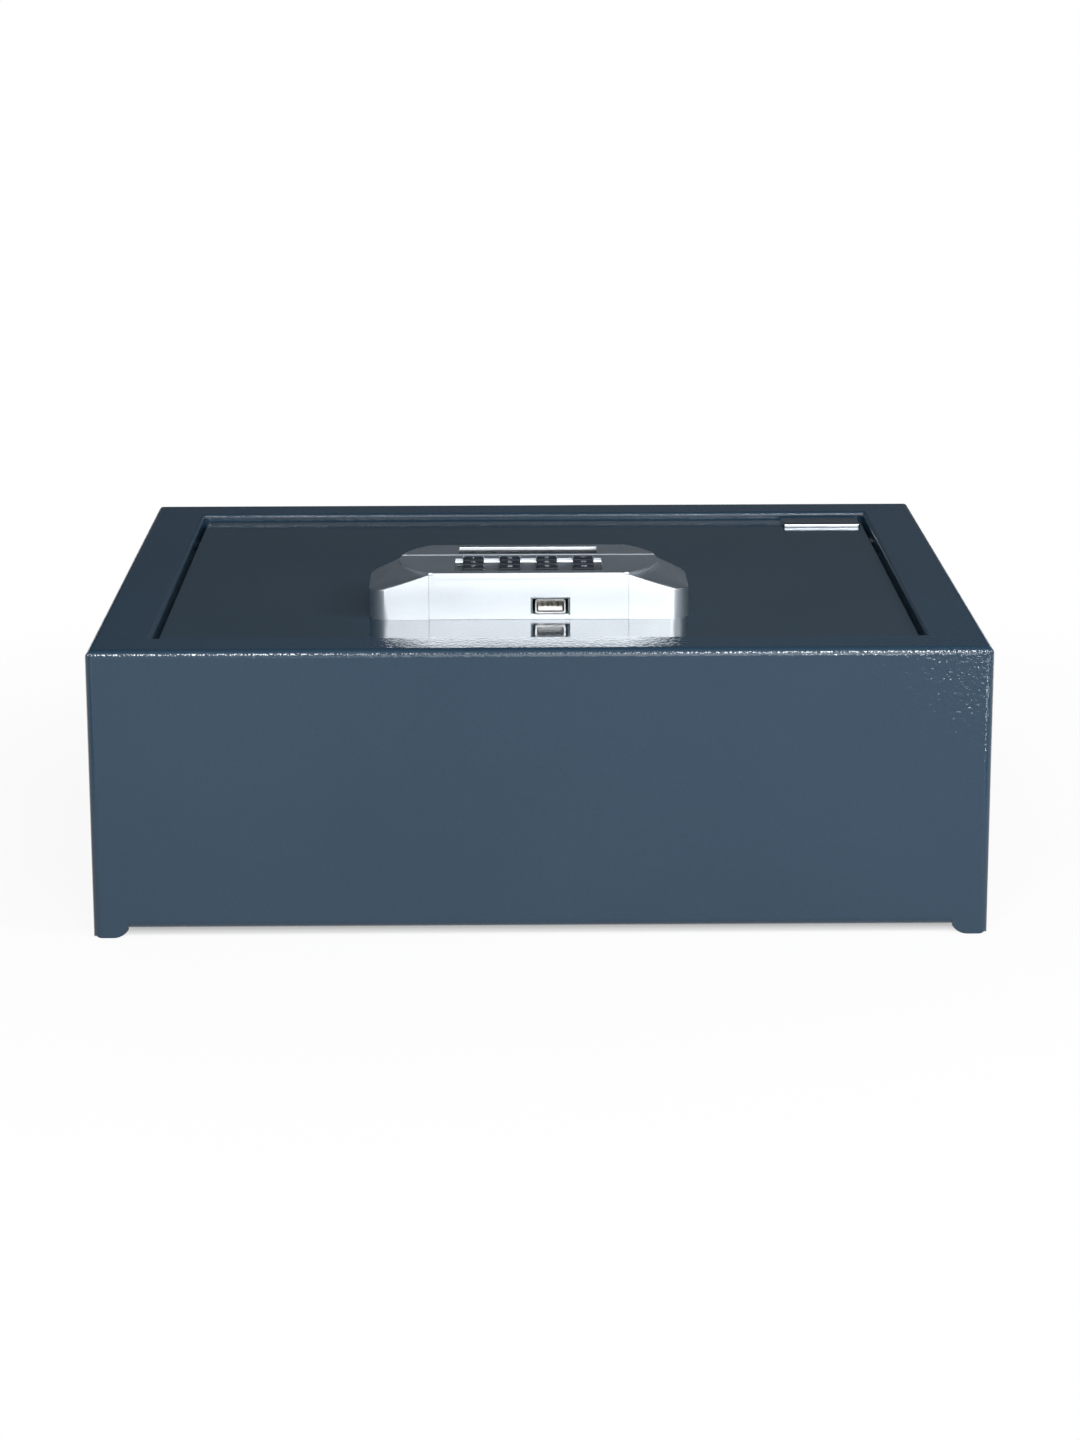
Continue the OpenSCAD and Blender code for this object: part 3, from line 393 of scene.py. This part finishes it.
for name, edge in (("lid_plate", 0.0006), ("lock_housing", 0.0005), ("front_fascia", 0.00012),
                   ("keypad_panel", 0.0002), ("display_panel", 0.0002), ("name_plate", 0.0002),
                   ("display_window", 0.0002), ("usb_shell", 0.00008), ("usb_tongue", 0.0002),
                   ("hinge_bracket_left", 0.0004), ("hinge_bracket_right", 0.0004),
                   ("hinge_lug_left", 0.0004), ("hinge_lug_right", 0.0004),
                   ("hinge_pins", 0.0006), ("lid_buffers", 0.0005), ("floor_mat", 0.0006),
                   ("bolt_guide", 0.0004), ("bolt_plate", 0.0004), ("live_bolts", 0.0003),
                   ("mechanism_cover", 0.0006), ("battery_door", 0.0004),
                   ("batteries", 0.0003), ("battery_tray", 0.0003), ("bolt_rack", 0.0002),
                   ("gearmotor", 0.0003), ("motor_bracket", 0.0002), ("buzzer", 0.0003),
                   ("base_plate", 0.0003), ("housing_screws", 0.0002)):
    finished_copy(name, edge)
finished_copy("body_shell")


def second_material(node, material, chosen):
    """Gives the faces of a finished copy for which the test holds another material."""
    piece = bpy.data.objects[node + "_finished"]
    piece.data.materials.append(material)
    for face in piece.data.polygons:
        if chosen(face):
            face.material_index = 1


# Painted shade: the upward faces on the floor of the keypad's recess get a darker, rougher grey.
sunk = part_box("keypad_panel")[1].z - 0.0012
second_material("keypad_panel", recess_shade_grey,
                lambda face: face.normal.z > 0.9 and face.center.z < sunk)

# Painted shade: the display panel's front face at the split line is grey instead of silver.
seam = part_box("display_panel")[0].y + 0.0004
second_material("display_panel", seam_shade_grey,
                lambda face: face.normal.y < -0.5 and face.center.y < seam)

low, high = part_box("batteries")
cap_height = 0.0009
second_material("batteries", nickel,
                lambda face: abs(face.normal.y) > 0.7 or face.center.y > high.y - cap_height
                or face.center.y < low.y + cap_height)


# The keys and their figures

figure_size = 0.0052
figure_height = 0.00004
key_edge = 0.0003
key_figures = {"key_star": "*", "key_hash": "#", **{"key_%d" % n: str(n) for n in range(10)}}
for name, figure in key_figures.items():
    finished_copy(name, key_edge, 3)
    low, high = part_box(name)
    bpy.ops.object.select_all(action="DESELECT")
    bpy.ops.object.text_add(location=((low.x + high.x) / 2, (low.y + high.y) / 2, high.z))
    mark = bpy.context.object
    mark.name = name + "_figure"
    mark.data.body = figure
    mark.data.size = figure_size
    mark.data.extrude = figure_height
    mark.data.align_x = "CENTER"
    mark.data.align_y = "CENTER"
    bpy.ops.object.convert(target="MESH")
    bpy.ops.object.transform_apply(location=True, rotation=True, scale=True)
    give(mark, figure_ink)
    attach(mark, body_of_node[name])


# The screws of the cover's ears

def select_faces(piece, chosen):
    """Selects the faces for which the test holds, and goes into edit mode."""
    only(piece)
    bpy.ops.object.mode_set(mode="EDIT")
    bpy.ops.mesh.select_mode(type="FACE")
    bpy.ops.mesh.select_all(action="DESELECT")
    bpy.ops.object.mode_set(mode="OBJECT")
    for face in piece.data.polygons:
        face.select = chosen(face)
    bpy.ops.object.mode_set(mode="EDIT")


head_radius = 0.0035
head_height = 0.0024
shank_radius = 0.002
dome_height = 0.0011
slot_length = 0.0038
slot_width = 0.0008


def pan_head_screw(shank_length):
    """A screw with a domed head and a cross recess, head down, with its seat at the origin."""
    bpy.ops.object.select_all(action="DESELECT")
    bpy.ops.mesh.primitive_cylinder_add(vertices=48, radius=head_radius, depth=head_height,
                                        location=(0, 0, -head_height / 2))
    screw = bpy.context.object
    bpy.ops.object.transform_apply(location=True, rotation=True, scale=True)
    select_faces(screw, lambda face: face.normal.z > 0.9)
    bpy.ops.mesh.inset(thickness=head_radius - shank_radius)
    bpy.ops.mesh.extrude_region_move(TRANSFORM_OT_translate={"value": (0, 0, shank_length)})
    bpy.ops.object.mode_set(mode="OBJECT")
    select_faces(screw, lambda face: face.normal.z < -0.9)
    bpy.ops.mesh.bevel(offset=dome_height, segments=6, affect="EDGES")
    bpy.ops.object.mode_set(mode="OBJECT")
    bpy.ops.object.select_all(action="DESELECT")
    bpy.ops.mesh.primitive_cube_add(size=1, location=(0, 0, -head_height))
    cutter = bpy.context.object
    cutter.scale = (slot_length, slot_width, head_height)
    bpy.ops.object.transform_apply(location=True, rotation=True, scale=True)
    apply_modifier(screw, "BOOLEAN", object=cutter, operation="DIFFERENCE", solver="EXACT")
    cutter.data.transform(Matrix.Rotation(math.pi / 2, 4, "Z"))
    apply_modifier(screw, "BOOLEAN", object=cutter, operation="DIFFERENCE", solver="EXACT")
    bpy.data.objects.remove(cutter)
    return screw


low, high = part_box("cover_screws")
master = pan_head_screw(high.z - low.z - head_height)
placed = []
for x in (low.x + head_radius, high.x - head_radius):
    for y in (low.y + head_radius, high.y - head_radius):
        only(master)
        bpy.ops.object.duplicate()
        screw = bpy.context.object
        screw.location = (x, y, low.z + head_height)
        uneven_turn = 0.4 + 37 * x + 11 * y
        screw.rotation_euler = (0, 0, uneven_turn)
        bpy.ops.object.transform_apply(location=True, rotation=True, scale=True)
        placed.append(screw)
bpy.data.objects.remove(master)
only(placed[0])
for screw in placed:
    screw.select_set(True)
bpy.ops.object.join()
screws = bpy.context.object
screws.name = "cover_screws_finished"
smooth_faces(screws, 30)
give(screws, zinc)
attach(screws, "lid")
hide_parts("cover_screws")


# The camera

def aim(turn, pitch, roll):
    """A rotation that looks along +Y, turned right, pitched down and rolled, in degrees."""
    turn, pitch, roll = (math.radians(a) for a in (turn, pitch, roll))
    forward = Vector((math.sin(turn) * math.cos(pitch), math.cos(turn) * math.cos(pitch),
                      -math.sin(pitch)))
    right = Vector((math.cos(turn), -math.sin(turn), 0))
    up = right.cross(forward)
    across = math.cos(roll) * right + math.sin(roll) * up
    upright = -math.sin(roll) * right + math.cos(roll) * up
    return Matrix((across, upright, -forward)).transposed().to_4x4()


bpy.ops.object.camera_add()
camera = bpy.context.object
camera.name = "camera"
camera.data.sensor_width = 36
camera.data.lens = 89.42
camera.matrix_world = Matrix.Translation((-0.0141, -1.7045, 0.4785)) @ aim(0.523, 13.917, -0.151)
bpy.context.scene.camera = camera
bpy.context.scene.view_settings.view_transform = "Standard"


# The studio

def softbox(name, place, target, width, height, power):
    """A rectangular lamp at a place, facing a target."""
    bpy.ops.object.light_add(type="AREA", location=place)
    lamp = bpy.context.object
    lamp.name = name
    lamp.data.shape = "RECTANGLE"
    lamp.data.size = width
    lamp.data.size_y = height
    lamp.data.energy = power
    lamp.visible_camera = False
    lamp.rotation_euler = (Vector(target) - Vector(place)).to_track_quat("-Z", "Y").to_euler()
    return lamp


def seen_rays(tree):
    """A factor that is 1 for what the camera sees, straight or in metal and glass."""
    path = tree.nodes.new("ShaderNodeLightPath")
    metal_or_glass = join_values(tree, "MAXIMUM", path.outputs["Is Glossy Ray"],
                                 path.outputs["Is Transmission Ray"])
    return join_values(tree, "MAXIMUM", path.outputs["Is Camera Ray"], metal_or_glass)


def white_room():
    """The world: white where it is seen, and a low even light where it isn't."""
    world = bpy.data.worlds.new("room")
    bpy.context.scene.world = world
    world.use_nodes = True
    tree = world.node_tree
    tree.nodes.clear()
    light = tree.nodes.new("ShaderNodeBackground")
    light.inputs["Color"].default_value = (0.96, 0.98, 1, 1)
    light.inputs["Strength"].default_value = 0.24
    seen = tree.nodes.new("ShaderNodeBackground")
    seen.inputs["Color"].default_value = (1, 1, 1, 1)
    seen.inputs["Strength"].default_value = 1.0
    mix = tree.nodes.new("ShaderNodeMixShader")
    tree.links.new(seen_rays(tree), mix.inputs[0])
    tree.links.new(light.outputs[0], mix.inputs[1])
    tree.links.new(seen.outputs[0], mix.inputs[2])
    out = tree.nodes.new("ShaderNodeOutputWorld")
    tree.links.new(mix.outputs[0], out.inputs["Surface"])


half_width = 0.2
half_depth = 0.175
shadow_from = 0.28
shadow_to = 0.6


def pale_floor():
    """The floor, which glows white where it is seen. Near the safe it keeps part of the shadow.
    Under the safe, and where it isn't seen, it is plain paper."""
    bpy.ops.object.select_all(action="DESELECT")
    bpy.ops.mesh.primitive_plane_add(size=60, location=(0, 0, 0))
    floor = bpy.context.object
    floor.name = "floor"
    material = bpy.data.materials.new("white_paper")
    material.use_nodes = True
    tree = material.node_tree
    tree.nodes.clear()
    paper = tree.nodes.new("ShaderNodeBsdfDiffuse")
    paper.inputs["Color"].default_value = (0.85, 0.85, 0.85, 1)
    glow = tree.nodes.new("ShaderNodeEmission")
    glow.inputs["Strength"].default_value = 1.0
    coords = tree.nodes.new("ShaderNodeTexCoord")
    length = vector_node(tree, "LENGTH", coords.outputs["Object"])
    around = spread(tree, length.outputs["Value"], 0.91, 1.0, shadow_from, shadow_to)
    inside = vector_node(tree, "MULTIPLY", coords.outputs["Object"],
                         (1 / half_width, 1 / half_depth, 0))
    inside = vector_node(tree, "ABSOLUTE", inside.outputs["Vector"])
    sides = tree.nodes.new("ShaderNodeSeparateXYZ")
    tree.links.new(inside.outputs["Vector"], sides.inputs["Vector"])
    under = spread(tree, join_values(tree, "MAXIMUM", sides.outputs["X"], sides.outputs["Y"]),
                   0.0, 1.0, 0.85, 1.0)
    share = join_values(tree, "MINIMUM", around, under)
    factor = join_values(tree, "MULTIPLY", seen_rays(tree), share)
    mix = tree.nodes.new("ShaderNodeMixShader")
    tree.links.new(factor, mix.inputs[0])
    tree.links.new(paper.outputs[0], mix.inputs[1])
    tree.links.new(glow.outputs[0], mix.inputs[2])
    out = tree.nodes.new("ShaderNodeOutputMaterial")
    tree.links.new(mix.outputs[0], out.inputs["Surface"])
    give(floor, material)
    floor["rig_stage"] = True


cloth_black = (0.006, 0.020, 0.036)


def flag(name, place, turn, width, height, tilt=90):
    """A dark cloth beside the set, which only shiny faces show."""
    bpy.ops.object.select_all(action="DESELECT")
    bpy.ops.mesh.primitive_plane_add(size=1, location=place,
                                     rotation=(math.radians(tilt), 0, math.radians(turn)))
    cloth = bpy.context.object
    cloth.name = name
    cloth.scale = (width, height, 1)
    cloth.visible_camera = False
    cloth.visible_diffuse = False
    cloth.visible_transmission = False
    cloth.visible_shadow = False
    material = bpy.data.materials.new(name + "_cloth")
    material.use_nodes = True
    surface = material.node_tree.nodes["Principled BSDF"]
    surface.inputs["Base Color"].default_value = (*cloth_black, 1)
    give(cloth, material)
    cloth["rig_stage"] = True


white_room()
pale_floor()
flag("back_flag", (0, 1.6, 1.6), 0, 9, 3.2)
flag("ceiling_flag", (0, 1.2, 3.2), 0, 9, 4.0, 0)
flag("left_flag", (-1.9, -1.2, 1.3), 90, 5.8, 2.6)
flag("right_flag", (1.9, -0.7, 1.3), 90, 4.8, 2.6)
softbox("key_light", (0.55, -3.6, 1.15), (0, -0.1, 0.1), 1.9, 1.7, 37)
softbox("wide_light", (0.3, -3.7, 1.2), (0, -0.1, 0.1), 5.5, 2.6, 14)
softbox("right_light", (0.32, -1.3, 1.3), (0.15, -0.17, 0.1), 0.5, 0.06, 8)
softbox("left_light", (-0.3, -1.3, 1.3), (-0.15, -0.17, 0.1), 0.3, 0.06, 6)
softbox("side_light", (1.5, -0.9, 1.1), (-0.1, 0, 0.1), 0.5, 0.5, 14)
softbox("low_light", (0.55, -1.6, 0.3), (0.15, -0.17, 0.1), 0.15, 0.15, 3)
rear_light = softbox("rear_light", (-0.5, 3.2, 0.7), (0, 0, 0.07), 2.0, 0.9, 34)
rear_light.visible_glossy = False

low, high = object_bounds()
